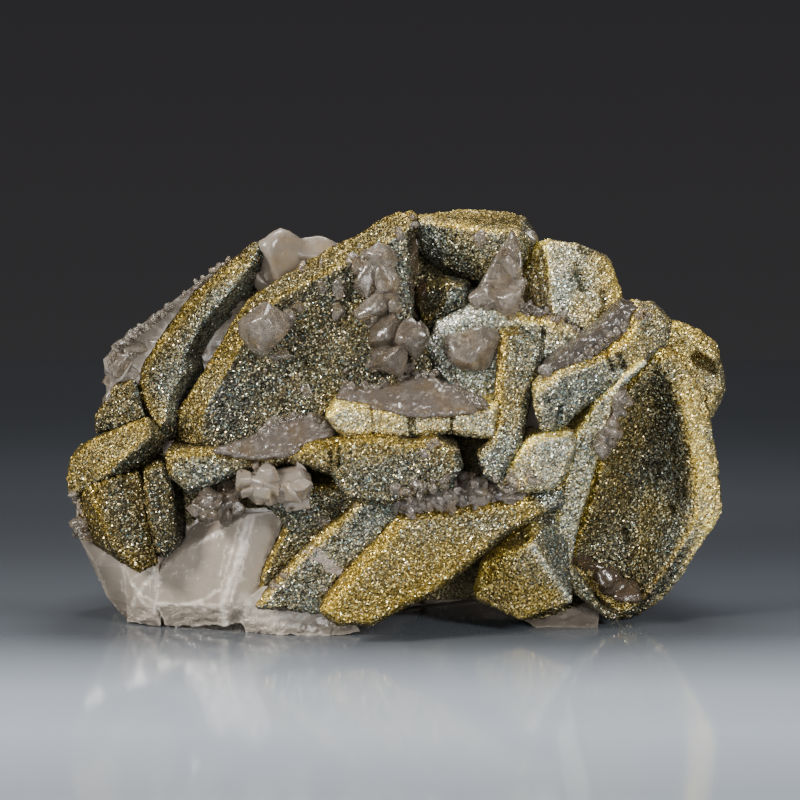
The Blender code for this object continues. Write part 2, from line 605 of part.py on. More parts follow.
def calcite_base():
    """The clear calcite that everything grows from: cleaved foot, left rim, top lumps and broken back."""
    core = block("calcite_base", [
        (-50, 30, -4), (-44, 8, -10), (-20, 3, -12), (20, 8, -4), (36, 4, 0), (46, 14, 4),
        (48, 40, 6), (40, 56, 4), (20, 62, 4), (0, 64, 2), (-24, 58, 2), (-42, 46, -4),
        (-44, 20, 20), (-20, 6, 20), (30, 6, 18), (44, 20, 19), (40, 50, 16), (10, 58, 17),
        (-30, 54, 14), (-48, 36, 12),
    ], CLEAR)
    foot = block("foot", [
        (-42.9, 2.8, -12.6), (-42, 8.8, -11.7), (-36.8, 12.8, -12.4), (-27.1, 18.2, -14.0),
        (-32.2, 3.2, -15.5), (-25.6, 18.7, -14.6), (-29.8, 2.4, -16.9), (-20.6, 19.1, -12.2),
        (-25.9, 1.4, -15.2), (-40.8, -1.2, -10.4), (-30.6, -0.9, -14.6), (-27.1, -0.4, -14.8),
        (-19.5, 14, -11), (-44, 2, 20), (-6, 2, 20), (-10, 18, 16), (-43, 18, 16), (-38, 18, -6),
    ], CLEAR)
    middle_foot = block("middle_foot", [
        (-48.6, 10.5, -9.2), (-42.6, 8.4, -12.2), (-46.4, 4.4, -11.2), (-43, 0.8, -12),
        (-47.6, -0.3, -7.6), (-42, -1, -10.4), (-41, 6, -11.5), (-43, 13, -9), (-49, 11, 6),
        (-47, 1, 6), (-41, 1, 6), (-41, 12, 6),
    ], CLEAR)
    left_foot = block("left_foot", [
        (-56.5, 14.9, -6.2), (-53.4, 9.6, -8.2), (-51.3, 4, -7.4), (-48.6, 0.7, -6.4),
        (-50.2, 13.6, -8.8), (-48.4, 9, -8.8), (-47, 2.6, -7.6), (-46, 0, -3), (-55, 14.8, 4),
        (-50, 4, 8), (-44, 3, 8), (-43, 14, 6),
    ], CLEAR)
    bottom_plate = block("bottom_plate", [
        (-27, -2.2, -14.5), (-21, -2.9, -16.5), (-12, -3, -17), (-7, -2, -16), (-9, 1, -17),
        (-14, 4, -17.5), (-24, 6, -16.5), (-29, 2, -15.5), (-26, 2, 2), (-10, 2, 0), (-12, 6, 0),
    ], CLEAR)
    right_plate = block("right_plate", [
        (21, 0.2, -9), (24, -1.5, -11), (34.5, -1.6, -11), (35, 0.6, -9), (30, 3, -7), (22, 3, -7),
        (24, 3.6, 14), (33, 3.6, 14), (33, 1.5, 14), (22, 1.5, 14), (30, 12, 8),
    ], CLEAR)
    left_rim = block("left_rim", [
        (-50, 48.3, -9), (-50.8, 47, -9), (-51.5, 42.5, -8), (-51.5, 39.5, -8), (-47.5, 49.3, -8),
        (-43, 52.6, -6), (-39.5, 55.4, -5), (-32.5, 61.3, -2), (-28.7, 63.8, -1), (-27, 62, 2),
        (-44, 40, -8), (-34, 52, 6), (-48, 42, 6),
    ], CLEAR)
    lumps = [
        crystal_lump("lump", (-21.4, 61.6, 1), (9, 9, 12), 1),
        crystal_lump("lump", (-14.6, 63, 3), (10, 8, 8.5), 2),
        crystal_lump("lump", (-28, 54.3, -9), (5.4, 6, 5.4), 3),
        crystal_lump("lump", (2.4, 64, 4), (6, 9, 12), 6),
        crystal_lump("lump", (-49.2, 44.6, -8), (6.5, 6, 8), 4),
        crystal_lump("lump", (-55.6, 17.8, -9), (5, 6, 11), 5),
    ]
    steps = [
        rhomb("step", (-30, 40, 15), (22, 18, 20)),
        rhomb("step", (-6, 44, 17), (26, 20, 22)),
        rhomb("step", (22, 42, 15), (24, 20, 22)),
        rhomb("step", (-24, 18, 13), (30, 22, 20)),
        rhomb("step", (8, 20, 16), (28, 22, 26)),
        rhomb("step", (30, 20, 12), (18, 18, 22)),
        rhomb("step", (-38, 30, 17), (14, 16, 12)),
        rhomb("step", (-16, 30, 22), (14, 14, 12)),
        rhomb("step", (6, 54, 19), (16, 16, 11)),
        rhomb("step", (16, 32, 23), (15, 12, 14)),
        rhomb("step", (-22, 52, 18), (13, 14, 10)),
        rhomb("step", (36, 32, 18), (12, 14, 15)),
        rhomb("step", (-8, 13, 22), (16, 12, 13)),
    ]
    grown_together = [foot, middle_foot, left_foot, bottom_plate, right_plate, left_rim]
    join_all(core, grown_together + lumps + steps)
    trim_floor_and_back(core)
    fit(core)


def trim_floor_and_back(ob):
    """Flat resting face at the floor, and one break across the back."""
    for place, facing in (((0, 0, FLOOR_TRIM), (0, 0, -1)), ((0, BACK_DEPTH, 0), (0, 1, 0.06))):
        bm = bmesh.new()
        bm.from_mesh(ob.data)
        cut = bmesh.ops.bisect_plane(
            bm, geom=bm.verts[:] + bm.edges[:] + bm.faces[:], dist=MERGE,
            plane_co=Vector(place) * MM, plane_no=facing, clear_outer=True,
        )
        rim = [e for e in cut["geom_cut"] if isinstance(e, bmesh.types.BMEdge)]
        bmesh.ops.edgenet_fill(bm, edges=rim)
        bmesh.ops.recalc_face_normals(bm, faces=bm.faces)
        bm.to_mesh(ob.data)
        bm.free()


def centre_on_floor():
    """Puts the origin at the middle of the underside of the whole cluster."""
    boxes = [corners_of(ob) for ob in built]
    low = Vector([min(box[0][k] for box in boxes) for k in range(3)])
    high = Vector([max(box[1][k] for box in boxes) for k in range(3)])
    shift = Vector((-(low.x + high.x) / 2, -(low.y + high.y) / 2, -low.z))
    for ob in built:
        for v in ob.data.vertices:
            v.co += shift
    return shift


clear_scene()
bpy.context.scene.collection.children.link(parts)
bpy.context.scene.collection.children.link(cutters)
front_blades()
left_blades()
upper_blades()
right_blades()
clear_crystals()
calcite_base()
last_shift = centre_on_floor()
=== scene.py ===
"""Looks of a calcite cluster: a brassy druse on thick blades, clear cleaved calcite and small crystals.

Places are given as an observer in front sees them: x to the right and z up from the floor, both in
millimetres, with y the depth behind the picture's middle plane.
"""

import math
import random

import bmesh
import bpy
import numpy as np
from mathutils import Euler, Matrix, Vector, noise
from mathutils.bvhtree import BVHTree

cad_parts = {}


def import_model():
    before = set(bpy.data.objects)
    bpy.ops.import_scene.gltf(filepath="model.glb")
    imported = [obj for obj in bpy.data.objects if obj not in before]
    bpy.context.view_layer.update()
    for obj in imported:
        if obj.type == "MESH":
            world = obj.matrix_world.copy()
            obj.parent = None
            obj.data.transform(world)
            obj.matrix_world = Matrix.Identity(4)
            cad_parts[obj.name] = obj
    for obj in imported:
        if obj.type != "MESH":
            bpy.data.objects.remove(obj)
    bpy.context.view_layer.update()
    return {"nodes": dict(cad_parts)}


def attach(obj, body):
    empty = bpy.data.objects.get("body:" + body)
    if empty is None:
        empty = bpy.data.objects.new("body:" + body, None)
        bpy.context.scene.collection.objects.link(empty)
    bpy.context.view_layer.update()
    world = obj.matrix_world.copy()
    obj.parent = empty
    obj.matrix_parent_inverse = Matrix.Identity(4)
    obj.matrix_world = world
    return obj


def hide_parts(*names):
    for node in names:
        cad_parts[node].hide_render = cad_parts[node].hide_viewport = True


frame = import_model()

# Driving dimensions, in millimetres and degrees: first the observer, and how far the model stands from the
# middle of the picture
MM = 0.001
EYE_DISTANCE = 389.0
EYE_TILT = math.radians(7.0)
EYE_TARGET_HEIGHT = 38.5
SHIFT = Vector((0.12, -3.47, -0.30))
LENS = 100.0
SENSOR = 36.0

# The druse: its grains, the facets that glint and their clumps, how far the coat stands out, how far each
# grain is lifted and slid, how wide the edges with painted highlights are, and which way the painted light
# comes from
GRAIN = 0.33
GLINT = 0.24
CLUMP = 0.45
COAT = 0.28
GRAIN_LIFT = 0.085
GRAIN_SLIDE = 0.05
RIM = 1.6
PAINTED_LIGHT_FROM = (-0.6, -0.35, 0.72)

# Clear crystals: the squares of the rounded ones and of the crusts, and their facets
SOFT_GRAIN = 0.45
CRUST_GRAIN = 0.4
FACET = 0.55
REFRACTION = 1.6
FLATS = 14
FLAT_REACH = (0.22, 0.36)
WIDTH_LOST_TO_FLATS = 1.5

# How deep a crystal's root is in its seat, for its size, and which way a seat faces
ROOT = 0.1
SEAT_FACING = (0, -1, 0.3)
SEAT_REACH = -0.2
LEAN = 0.5

# The base: the triangles of its faces and of its foot, and how wide its chipped edges are
BASE_FACE = 1.4
FOOT_FACE = 0.6
CHIPPED = 0.7

# The floor's far end, and the backdrop's height
FLOOR_BACK = 430.0
BACKDROP = 700.0

# How warm each coated blade looks, and how bright: the brightness is partly the coat's own tone and partly
# painted light and shade for where the blade stands
TONES = {
    "front_blade": (0.76, 0.68),
    "small_plate": (0.3, 2.3),
    "upright_blade": (-0.06, 0.67),
    "upper_shelf_blade": (0.27, 2.15),
    "lower_shelf_blade": (0.28, 0.48),
    "diagonal_blade": (0.12, 1.25),
    "narrow_blade": (0.08, 2.6),
    "ledge_blade": (0.47, 0.54),
    "small_left_blade": (0.17, 0.27),
    "lower_left_blade": (1.08, 0.25),
    "upper_left_blade": (0.24, 0.25),
    "left_rim_blade": (-0.17, 0.25),
    "arch_blade": (-0.26, 2.19),
    "great_blade": (0.36, 0.37),
    "top_block": (0.31, 0.89),
    "right_block": (0.26, 2.6),
    "cave_blade": (-0.23, 0.81),
    "shield_blade": (0.54, 1.42),
    "shoulder_blade": (0.63, 1.72),
    "foot_wedge": (0.47, 1.29),
    "hollow_blade": (0.24, 0.5),
    "leaning_blade": (0.15, 0.89),
}

# Grooves, slots and cracks on a blade: the path seen from in front, its width and its depth
GROOVES = {
    "upper_shelf_blade": [
        ([(2.0, 36.8), (2.2, 31.4)], 0.6, 0.8),
        ([(9.1, 36.8), (9.0, 31.8)], 0.35, 0.5),
        ([(-4.9, 37.2), (-4.6, 32.4)], 0.3, 0.35),
    ],
    "lower_shelf_blade": [
        ([(-25.4, 29.2), (-25.2, 26.4)], 0.8, 0.5),
        ([(-12.3, 31.0), (-12.1, 26.4)], 0.3, 0.5),
        ([(-10.9, 31.2), (-10.7, 26.8)], 0.3, 0.4),
    ],
    "diagonal_blade": [
        ([(36.2, 46.8), (37.3, 44.0)], 0.35, 0.6),
        ([(38.3, 46.4), (39.5, 44.2)], 0.35, 0.6),
        ([(35.1, 39.2), (35.9, 39.2)], 0.8, 1.0),
        ([(28.2, 37.2), (27.6, 33.8)], 0.4, 0.6),
    ],
    "shoulder_blade": [([(52.0, 45.9), (55.0, 44.0)], 0.8, 1.3)],
    "right_block": [
        ([(31.3, 60.6), (32.2, 58.2)], 0.7, 0.9),
        ([(35.6, 57.0), (35.9, 56.2)], 0.6, 0.6),
    ],
    "shield_blade": [
        ([(39.2, 15.6), (39.7, 14.0)], 0.5, 0.8),
        ([(44.4, 27.2), (45.0, 25.4)], 0.5, 0.8),
        ([(47.2, 20.4), (47.7, 19.2)], 0.5, 0.6),
        ([(42.0, 33.5), (42.6, 32.4)], 0.5, 0.6),
    ],
    "arch_blade": [([(24.6, 52.8), (25.2, 49.4)], 0.3, 0.6)],
}

# How deeply a blade's skin is pitted
PITS = {
    "right_block": 1.0, "diagonal_blade": 0.7, "shield_blade": 0.5, "great_blade": 0.5,
    "leaning_blade": 0.8, "arch_blade": 0.5, "small_plate": 0.6,
}

# How coarse a blade's grains are, where they are finer than most
COARSENESS = {"front_blade": 0.45, "foot_wedge": 0.5, "upright_blade": 0.7, "upper_shelf_blade": 0.8}

# Tarnish colour, with painted light and shade, on part of a blade: a path seen from in front, how wide, how
# much warmer, and how much brighter, which is mostly painted light and shade
TINTS_AND_PAINTED_LIGHT = {
    "front_blade": [
        ([(25, 22.2), (28.4, 20.2)], 2.0, -2.6, 0.3), ([(-12, 0), (0, 3), (13, 11)], 4.0, 0.4, -0.1),
        ([(3, 16), (16, 17)], 4.0, -0.45, 0.05),
    ],
    "shield_blade": [
        ([(43, 38), (35, 16), (34, 9)], 5.0, 0.25, -0.4), ([(46, 32), (46, 14)], 4.0, -0.45, -0.12),
        ([(46, 41), (48.6, 31), (49.8, 20), (47, 9), (41, 3)], 2.2, -0.3, -0.55),
        ([(41, 18), (45, 8)], 5.0, -0.3, -0.4), ([(36, 14), (42, 7)], 4.0, -0.3, -0.4),
        ([(49.7, 41), (52.5, 29.7), (54.2, 21), (53.5, 14), (49.5, 7), (45, 2.5)], 1.8, 0.4, 0.75),
        ([(54.8, 17), (51.5, 8.5), (46.5, 2)], 1.6, 0.2, 1.6),
    ],
    "great_blade": [
        ([(-1.0, 66), (1.6, 58), (-1, 53)], 2.0, -0.7, 1.2), ([(-33, 40), (-27, 33)], 5.0, -0.4, 0.1),
        ([(-16, 48), (-4, 42)], 4.0, -0.2, 0.0), ([(-28, 52), (-36, 38)], 1.6, 0.3, 0.15),
    ],
    "right_block": [
        ([(37, 63), (38.5, 54)], 3.0, 0.6, 0.15), ([(27.5, 58), (30, 52)], 3.0, -0.4, 0.0),
        ([(31, 55), (34, 52)], 2.5, 0.5, 0.0),
    ],
    "top_block": [
        ([(4, 67.5), (19, 65)], 3.2, 0.0, 0.7), ([(4, 69), (6, 64)], 2.2, -0.5, 0.4),
        ([(5, 70.6), (20, 69.4)], 0.9, 1.0, -1.0),
    ],
    "foot_wedge": [
        ([(26, 18), (28.6, 10), (32, 5)], 2.4, -1.2, -0.15), ([(23.3, 12.8), (30, 3)], 0.5, -0.4, 0.9),
        ([(16, 8), (25, 3)], 4.0, 0.6, -0.05),
    ],
    "narrow_blade": [
        ([(37.8, 40), (34, 24), (30, 9.5)], 0.7, 0.3, 0.5), ([(31, 9), (34, 4), (38, 0)], 2.5, 0.1, -0.5),
    ],
    "leaning_blade": [([(-10, 20), (-4, 21)], 3.0, -0.3, 0.15)],
    "lower_left_blade": [([(-57, 24), (-50, 10)], 3.5, 0.2, 0.3), ([(-51, 25), (-47, 14)], 3.0, -0.7, 0.0)],
    "upper_left_blade": [
        ([(-25, 64), (-36, 52), (-44, 40)], 2.2, -0.1, 0.0), ([(-30, 57), (-40, 40)], 3.0, -0.8, 0.2),
        ([(-33, 61), (-45, 46)], 2.0, 0.6, 0.0),
        ([(-27.5, 60), (-31, 52), (-35, 46), (-36.5, 42), (-39.5, 37)], 2.2, -0.2, 3.4),
    ],
    "diagonal_blade": [([(26, 38), (34, 42)], 3.0, -0.2, 0.0), ([(40, 47), (46, 52)], 3.0, 0.4, 0.1)],
    "arch_blade": [
        ([(5, 48), (8, 53), (15, 55)], 2.2, -1.0, 0.0), ([(8, 45), (14, 40)], 4.0, -0.6, 0.1),
        ([(20, 54), (28, 51)], 3.0, 0.8, -0.1),
    ],
    "upright_blade": [([(18, 48), (17, 36)], 2.5, 0.3, -0.1), ([(15, 28), (20, 30)], 3.0, -0.5, 0.1)],
    "lower_shelf_blade": [
        ([(-37, 25), (-31, 25)], 3.5, -0.35, 0.3), ([(-22, 29), (-4, 29)], 2.0, 0.35, 0.15),
        ([(0, 25), (9, 25)], 3.0, -0.35, 0.0),
    ],
}

# The larger clear crystals of each group: their look, then x and z seen from in front, width and height
CRYSTALS = {
    "left_face_crystals": ("crystal_look", [
        (-22.9, 51.4, 7.2, 7.3), (-21.2, 46.4, 4.2, 2.4), (-16.4, 39.9, 1.9, 2.6),
        (-25.2, 52.4, 2.6, 3.2), (-20.1, 52.8, 2.8, 3.5),
    ]),
    "upper_face_crystals": ("crystal_look", [
        (-5.9, 59.5, 3.5, 6.6), (-3.5, 63.5, 4.2, 4.2), (-1.9, 59.1, 3.8, 5.9), (-4.0, 55.1, 6.1, 4.7),
        (-7.0, 61.6, 2.4, 3.5), (-13.6, 58.3, 2.1, 3.1), (-10.7, 58.6, 2.3, 4.5),
        (-11.0, 53.9, 3.1, 3.5), (-17.7, 54.8, 2.8, 2.1), (0.0, 67.4, 1.8, 2.3), (-0.9, 54.9, 2.4, 2.8),
        (-8.6, 62.6, 2.1, 2.8),
    ]),
    "lower_face_crystals": ("shade_look", [
        (-2.6, 50.0, 5.4, 5.2), (2.4, 49.5, 5.6, 6.3), (-1.8, 45.5, 4.7, 4.4), (1.6, 44.6, 3.5, 3.3),
        (-4.9, 52.1, 2.4, 2.1), (-4.9, 44.4, 2.4, 2.1),
    ]),
    "arch_crystal": ("crystal_look", [
        (13.5, 48.3, 8.0, 6.3), (11.7, 45.7, 5.2, 3.5), (15.9, 49.3, 3.5, 4.2),
    ]),
    "foot_crystals": ("brown_shaded_look", [
        (31.6, 10.4, 4.6, 3.4), (34.2, 9.3, 3.6, 2.6), (36.0, 7.4, 4.8, 3.0), (38.2, 6.1, 4.8, 3.0),
        (40.4, 4.7, 4.6, 3.2), (37.4, 5.0, 3.2, 2.6),
    ]),
    "clear_spike": ("crystal_look", [
        (19.6, 64.8, 2.6, 4.9), (19.4, 61.2, 3.8, 5.2), (19.6, 57.0, 4.9, 5.9), (14.7, 56.7, 4.4, 4.2),
        (17.0, 56.0, 3.5, 3.8),
    ]),
}

# Other single crystals, by piece: their look, then x, z, width and height as above
LOOSE_CRYSTALS = {
    "crevice_crystals": ("brown_shaded_look", [
        (2.1, 63.5, 2.4, 5.6), (4.5, 57.7, 2.1, 3.0), (2.8, 53.5, 1.9, 2.6), (1.6, 58.8, 2.1, 3.5),
        (3.3, 66.5, 1.8, 2.4),
    ]),
    "top_block_crystals": ("crystal_look", [
        (14.2, 66.3, 2.8, 3.1), (22.8, 67.0, 3.1, 3.3),
    ]),
    "top_lobes": ("blob_look", [
        (-21.5, 62.6, 7.3, 9.1), (-14.3, 64.4, 8.4, 6.6), (-28.5, 55.1, 3.8, 3.1),
        (-24.1, 59.5, 4.5, 4.5),
    ]),
    "rim_crystals": ("crystal_look", [
        (-49.0, 45.1, 3.8, 4.5), (-46.4, 47.2, 3.8, 3.5), (-50.4, 41.6, 2.4, 3.8),
        (-47.6, 42.7, 3.1, 3.1), (-51.1, 38.8, 1.8, 2.8),
    ]),
    "plate_crystals": ("crystal_look", [
        (25.5, 43.6, 1.8, 2.3), (38.0, 38.5, 2.4, 4.2), (22.4, 32.2, 3.5, 2.6), (36.8, 32.9, 2.4, 2.8),
        (35.3, 30.1, 2.4, 2.8),
    ]),
    "foot_round_crystals": ("crystal_look", [
        (-21.9, 5.8, 2.1, 2.3), (-20.1, 7.7, 2.1, 2.1), (-14.3, 17.5, 3.5, 2.3), (-12.9, 4.9, 1.8, 1.6),
    ]),
    "shelf_end_crystals": ("crystal_look", [
        (5.6, 30.6, 2.8, 2.4), (4.2, 29.4, 1.8, 1.8),
    ]),
}

# The crusts on the blades' tops, by node
CRUSTS = {
    "upper_shelf_druse": "crust_look", "lower_shelf_druse": "crust_look",
    "diagonal_druse": "painted_shade_crust_look", "arch_druse": "crust_look",
}

# Groups that are grown all over with crystals: their node, how many, from what width to what, their look
GROWN = [
    ("hollow_crystals", 14, (2.0, 4.4), "blob_look"),
    ("left_hollow_crystals", 14, (1.6, 3.6), "shade_look"),
    ("front_crystals", 80, (0.8, 2.4), "rock_look"),
    ("narrow_blade_crystals", 14, (1.2, 2.6), "crystal_look"),
]

# Rows of small crystals: their path seen from in front, how many, their widths, how far they stray, seed
STREWN = {
    "left_rim_crust": (
        [(-29.5, 63.5), (-33, 60.8), (-36, 58.5), (-40, 55.2), (-43, 52.5), (-46, 50.5), (-48, 48.8),
         (-50, 47), (-50.4, 44.5)],
        70, (0.6, 1.6), 0.5, 41,
    ),
    "face_line": ([(-23, 64), (-15.5, 62), (-12, 58.5), (-6, 66)], 14, (0.6, 1.4), 1.6, 45),
    "edge_gems": ([(2.5, 70), (2.5, 64), (3, 58)], 14, (0.6, 1.2), 0.7, 47),
    "arch_row": ([(21.5, 55), (25, 53.6), (30.5, 51.2)], 50, (0.6, 1.5), 0.8, 60),
    "rock_gems": ([(-2, 22.5), (6, 23), (14, 23.5), (24, 24)], 50, (0.8, 2.0), 1.6, 55),
    "upper_shelf_edge": (
        [(-10, 41), (-4.9, 40.6), (1.9, 42.5), (5.2, 42.9), (8.8, 40.8), (15.6, 36.8)],
        70, (0.6, 1.8), 0.4, 57,
    ),
    "lower_shelf_edge": (
        [(-25.9, 31.9), (-21.9, 34.3), (-18.7, 35.4), (-14.9, 35.4), (-12.6, 33.8)],
        40, (0.6, 1.8), 0.4, 58,
    ),
    "diagonal_edge": ([(28.9, 43.4), (34, 47.5), (40, 52), (45, 54.4)], 44, (0.6, 1.6), 0.5, 59),
    "left_lump_gems": ([(-57, 22), (-56, 18), (-54, 14.5)], 16, (1.0, 2.4), 0.8, 56),
}

# Clear calcite by look: its tint, how clear it is, how much white clouds it, how rough it is, how large the
# clouds are, how far its facets are tipped, and how much white lines it
LOOKS = {
    "crystal_look": ((0.56, 0.48, 0.39), 0.85, 0.2, 0.2, 2.2, 0.15, 0.16),
    # a darker copy of the crystal look, painted shade for crystals in shadow
    "shade_look": ((0.40, 0.335, 0.265), 0.85, 0.12, 0.2, 2.2, 0.15, 0.12),
    "blob_look": ((0.55, 0.47, 0.385), 0.6, 0.15, 0.25, 2.6, 0.1, 0.0),
    # brown calcite, darker still with painted shade for crystals in shadow
    "brown_shaded_look": ((0.28, 0.205, 0.135), 0.8, 0.08, 0.16, 1.6, 0.1, 0.0),
    "crust_look": ((0.21, 0.172, 0.143), 0.5, 0.22, 0.2, 1.4, 0.4, 0.0),
    # the crust look made darker, painted shade for a crust in shadow
    "painted_shade_crust_look": ((0.12, 0.10, 0.082), 0.5, 0.18, 0.2, 1.4, 0.4, 0.0),
    "rock_look": ((0.28, 0.235, 0.20), 0.4, 0.2, 0.2, 1.2, 0.3, 0.0),
}
VEIL_WHITE = (0.80, 0.745, 0.68)

# Soft square lights: their place, what they are turned to, their size, power and colour
LIGHTS = {
    "key": ((-380, -250, 270), (0, 0, 35), 120, 3.0, (1.0, 0.95, 0.87)),
    "right": ((300, -330, 230), (15, 0, 40), 110, 1.7, (1.0, 0.98, 0.95)),
    "top": ((20, 60, 350), (0, 0, 40), 160, 1.0, (1, 1, 1)),
    "front": ((-60, -420, 100), (0, 0, 30), 120, 0.45, (1, 1, 1)),
}
DIM_LIGHT = 0.07

# Light and shade painted on the floor at each depth, from in front of the model to the backdrop
FLOOR_TONES = [
    (-110, 0.38), (-80, 0.53), (-58, 0.48), (-46, 0.37), (-33, 0.255), (-19, 0.145), (-3.4, 0.112),
    (13, 0.130), (31, 0.117), (51, 0.093), (73, 0.080), (97, 0.072), (123, 0.065), (153, 0.060),
    (185, 0.056), (223, 0.0500), (265, 0.0505), (313, 0.058), (370, 0.073), (430, 0.085),
]

# White cracked lines on the clear foot: a path seen from in front, its width and its strength
WHITE_LINES = [
    ([(-26.6, 18.6), (-28.6, 10), (-31.2, 3), (-30.4, -0.6)], 0.6, 1.0),
    ([(-27.9, 18), (-29.6, 11), (-31.6, 5)], 0.2, 0.8), ([(-25.9, 18), (-27.4, 10), (-29.8, 3)], 0.2, 0.8),
    ([(-43.2, 2.9), (-38, 2.7), (-34.5, 3.4), (-32, 5)], 0.3, 0.9),
    ([(-42.9, 3), (-42.2, 8.6)], 0.2, 0.8),
    ([(-46.9, 7.5), (-43, 9.2), (-42.2, 10.2)], 0.2, 0.7),
    ([(-47.2, 6.8), (-45, 4), (-42.8, 3.2)], 0.25, 0.9),
    ([(-48.5, 9.3), (-47.8, 4)], 0.3, 0.6),
    ([(-27, 3.4), (-20, 3), (-14, 5)], 1.4, 0.9), ([(-26, 1), (-19, 0), (-14, 2)], 1.6, 0.8),
    ([(-25.4, 1.2), (-23, 8), (-20.8, 18)], 0.22, 0.8),
    ([(-36.5, 12.6), (-28, 17.6)], 0.3, 0.6),
    ([(-30.2, 14), (-31.6, 8)], 0.2, 0.6),
    ([(-40, 8), (-33.4, 9.6)], 0.15, 0.4),
]

# Where shade is painted on the clear calcite, on its thin left rim, its lower left lump and its bottom
# right plate:
# a path seen from in front, and how wide
PAINTED_SHADE_PATHS = [
    ([(-52, 38), (-50, 46), (-43, 52), (-32, 61)], 4.5), ([(22, 0), (36, 0)], 4.0),
    ([(-56, 14), (-50, 3)], 3.0),
]

# Where dark druse covers the clear calcite: the middle of each patch seen from in front, and its size
TARNISHED = [
    (7, 60, 8, 11), (11, 27, 11, 8), (17, 6, 17, 6.5), (-43, 22, 4.5, 8), (30, 22, 8, 14),
    (-36, 23.5, 4.5, 5.5), (-25, 25, 8.5, 5.3), (-14, 23, 7, 4), (-37, 19, 1.6, 2.6),
    (-24.5, 20.6, 4, 1.5),
]

# Where the druse is thin and the calcite shows: a path seen from in front, and how wide
BARE = {
    "leaning_blade": [([(-17, 12.8), (-12, 9.5), (-9, 6)], 2.6), ([(-12, 18.5), (-7, 21)], 1.2)],
    "lower_left_blade": [([(-57.2, 22.5), (-55, 13)], 1.8)],
}


def eye_place():
    """The observer's eye, in millimetres, before the model's own shift."""
    return Vector((
        0, -EYE_DISTANCE * math.cos(EYE_TILT), EYE_DISTANCE * math.sin(EYE_TILT) + EYE_TARGET_HEIGHT
    ))


def as_seen(points):
    """Where an observer in front sees an array of points: x and z in millimetres."""
    offset = points - np.array(SHIFT + eye_place())
    depth = offset[:, 1] * math.cos(EYE_TILT) - offset[:, 2] * math.sin(EYE_TILT)
    height = offset[:, 1] * math.sin(EYE_TILT) + offset[:, 2] * math.cos(EYE_TILT)
    return offset[:, 0] * EYE_DISTANCE / depth, height * EYE_DISTANCE / depth + EYE_TARGET_HEIGHT


def sight(x, z):
    """The line of sight of an observer in front to a place seen at x and z."""
    up = Vector((0, math.sin(EYE_TILT), math.cos(EYE_TILT)))
    return Vector((x, 0, EYE_TARGET_HEIGHT)) + up * (z - EYE_TARGET_HEIGHT) - eye_place()


def near_path(across, up, path, width):
    """1 on a path that is seen from in front, falling to 0 over a width to each side."""
    reach = np.full(len(across), 1e6)
    for (x0, z0), (x1, z1) in zip(path, path[1:]):
        dx, dz = x1 - x0, z1 - z0
        share = np.clip(((across - x0) * dx + (up - z0) * dz) / (dx * dx + dz * dz), 0, 1)
        reach = np.minimum(reach, np.hypot(across - x0 - share * dx, up - z0 - share * dz))
    return np.exp(-(reach / width) ** 2)


# Materials


class Nodes:
    """Short calls for building one material's node tree."""

    def __init__(self, name):
        self.material = bpy.data.materials.new(name)
        self.material.use_nodes = True
        self.tree = self.material.node_tree
        self.shader = self.tree.nodes["Principled BSDF"]
        self.place = self.tree.nodes.new("ShaderNodeTexCoord").outputs["Object"]

    def add(self, kind, inputs=(), **settings):
        """A node of a kind, with its settings and its inputs set or linked."""
        node = self.tree.nodes.new("ShaderNode" + kind)
        for key, value in settings.items():
            setattr(node, key, value)
        for socket, value in dict(inputs).items():
            self.put(node.inputs[socket], value)
        return node

    def put(self, socket, value):
        """Links a socket to an output, or sets its value."""
        if isinstance(value, bpy.types.NodeSocket):
            self.tree.links.new(value, socket)
        else:
            socket.default_value = value

    def math(self, operation, a, b=0.0, clamp=False):
        """A number from two numbers."""
        return self.add("Math", {0: a, 1: b}, operation=operation, use_clamp=clamp).outputs[0]

    def cells(self, size):
        """A random colour for each cell of a size in millimetres."""
        node = self.add("TexVoronoi", {"Vector": self.place, "Scale": 1 / (size * MM)})
        return node.outputs["Color"]

    def depth_in_cell(self, size):
        """How far a spot is from the middle of its cell, of a size in millimetres."""
        node = self.add("TexVoronoi", {"Vector": self.place, "Scale": 1 / (size * MM)})
        return node.outputs["Distance"]

    def even(self, value):
        """A grey colour from a number."""
        return self.add("CombineColor", {0: value, 1: value, 2: value}).outputs[0]

    def noise(self, size, detail=2.0):
        """Smooth noise of a size in millimetres, around 0.5."""
        node = self.add(
            "TexNoise", {"Vector": self.place, "Scale": 1 / (size * MM), "Detail": detail}
        )
        return node.outputs["Fac"]

    def split(self, colour):
        """The three numbers of a colour."""
        return self.add("SeparateColor", {"Color": colour}).outputs

    def ramp(self, factor, stops):
        """A colour from a number, by stops of (place, colour)."""
        node = self.add("ValToRGB", {"Fac": factor})
        while len(node.color_ramp.elements) < len(stops):
            node.color_ramp.elements.new(0.5)
        for element, (place, colour) in zip(node.color_ramp.elements, stops):
            element.position = place
            element.color = (*colour, 1)
        return node.outputs["Color"]

    def blend(self, factor, a, b, blend_type="MIX"):
        """A colour between two colours."""
        node = self.add("Mix", data_type="RGBA", blend_type=blend_type)
        self.put(node.inputs["Factor"], factor)
        self.put(node.inputs["A"], a)
        self.put(node.inputs["B"], b)
        return node.outputs["Result"]

    def tilted(self, colour, amount):
        """The surface's normal, tipped another way for each cell."""
        middle = self.add("VectorMath", {0: colour, 1: (0.5, 0.5, 0.5)}, operation="SUBTRACT")
        tip = self.add("VectorMath", {0: middle.outputs[0], "Scale": amount}, operation="SCALE")
        normal = self.add("NewGeometry").outputs["Normal"]
        total = self.add("VectorMath", {0: normal, 1: tip.outputs[0]}, operation="ADD")
        return self.add("VectorMath", {0: total.outputs[0]}, operation="NORMALIZE").outputs[0]


def grey(value):
    """A grey of a value."""
    return (value, value, value, 1)


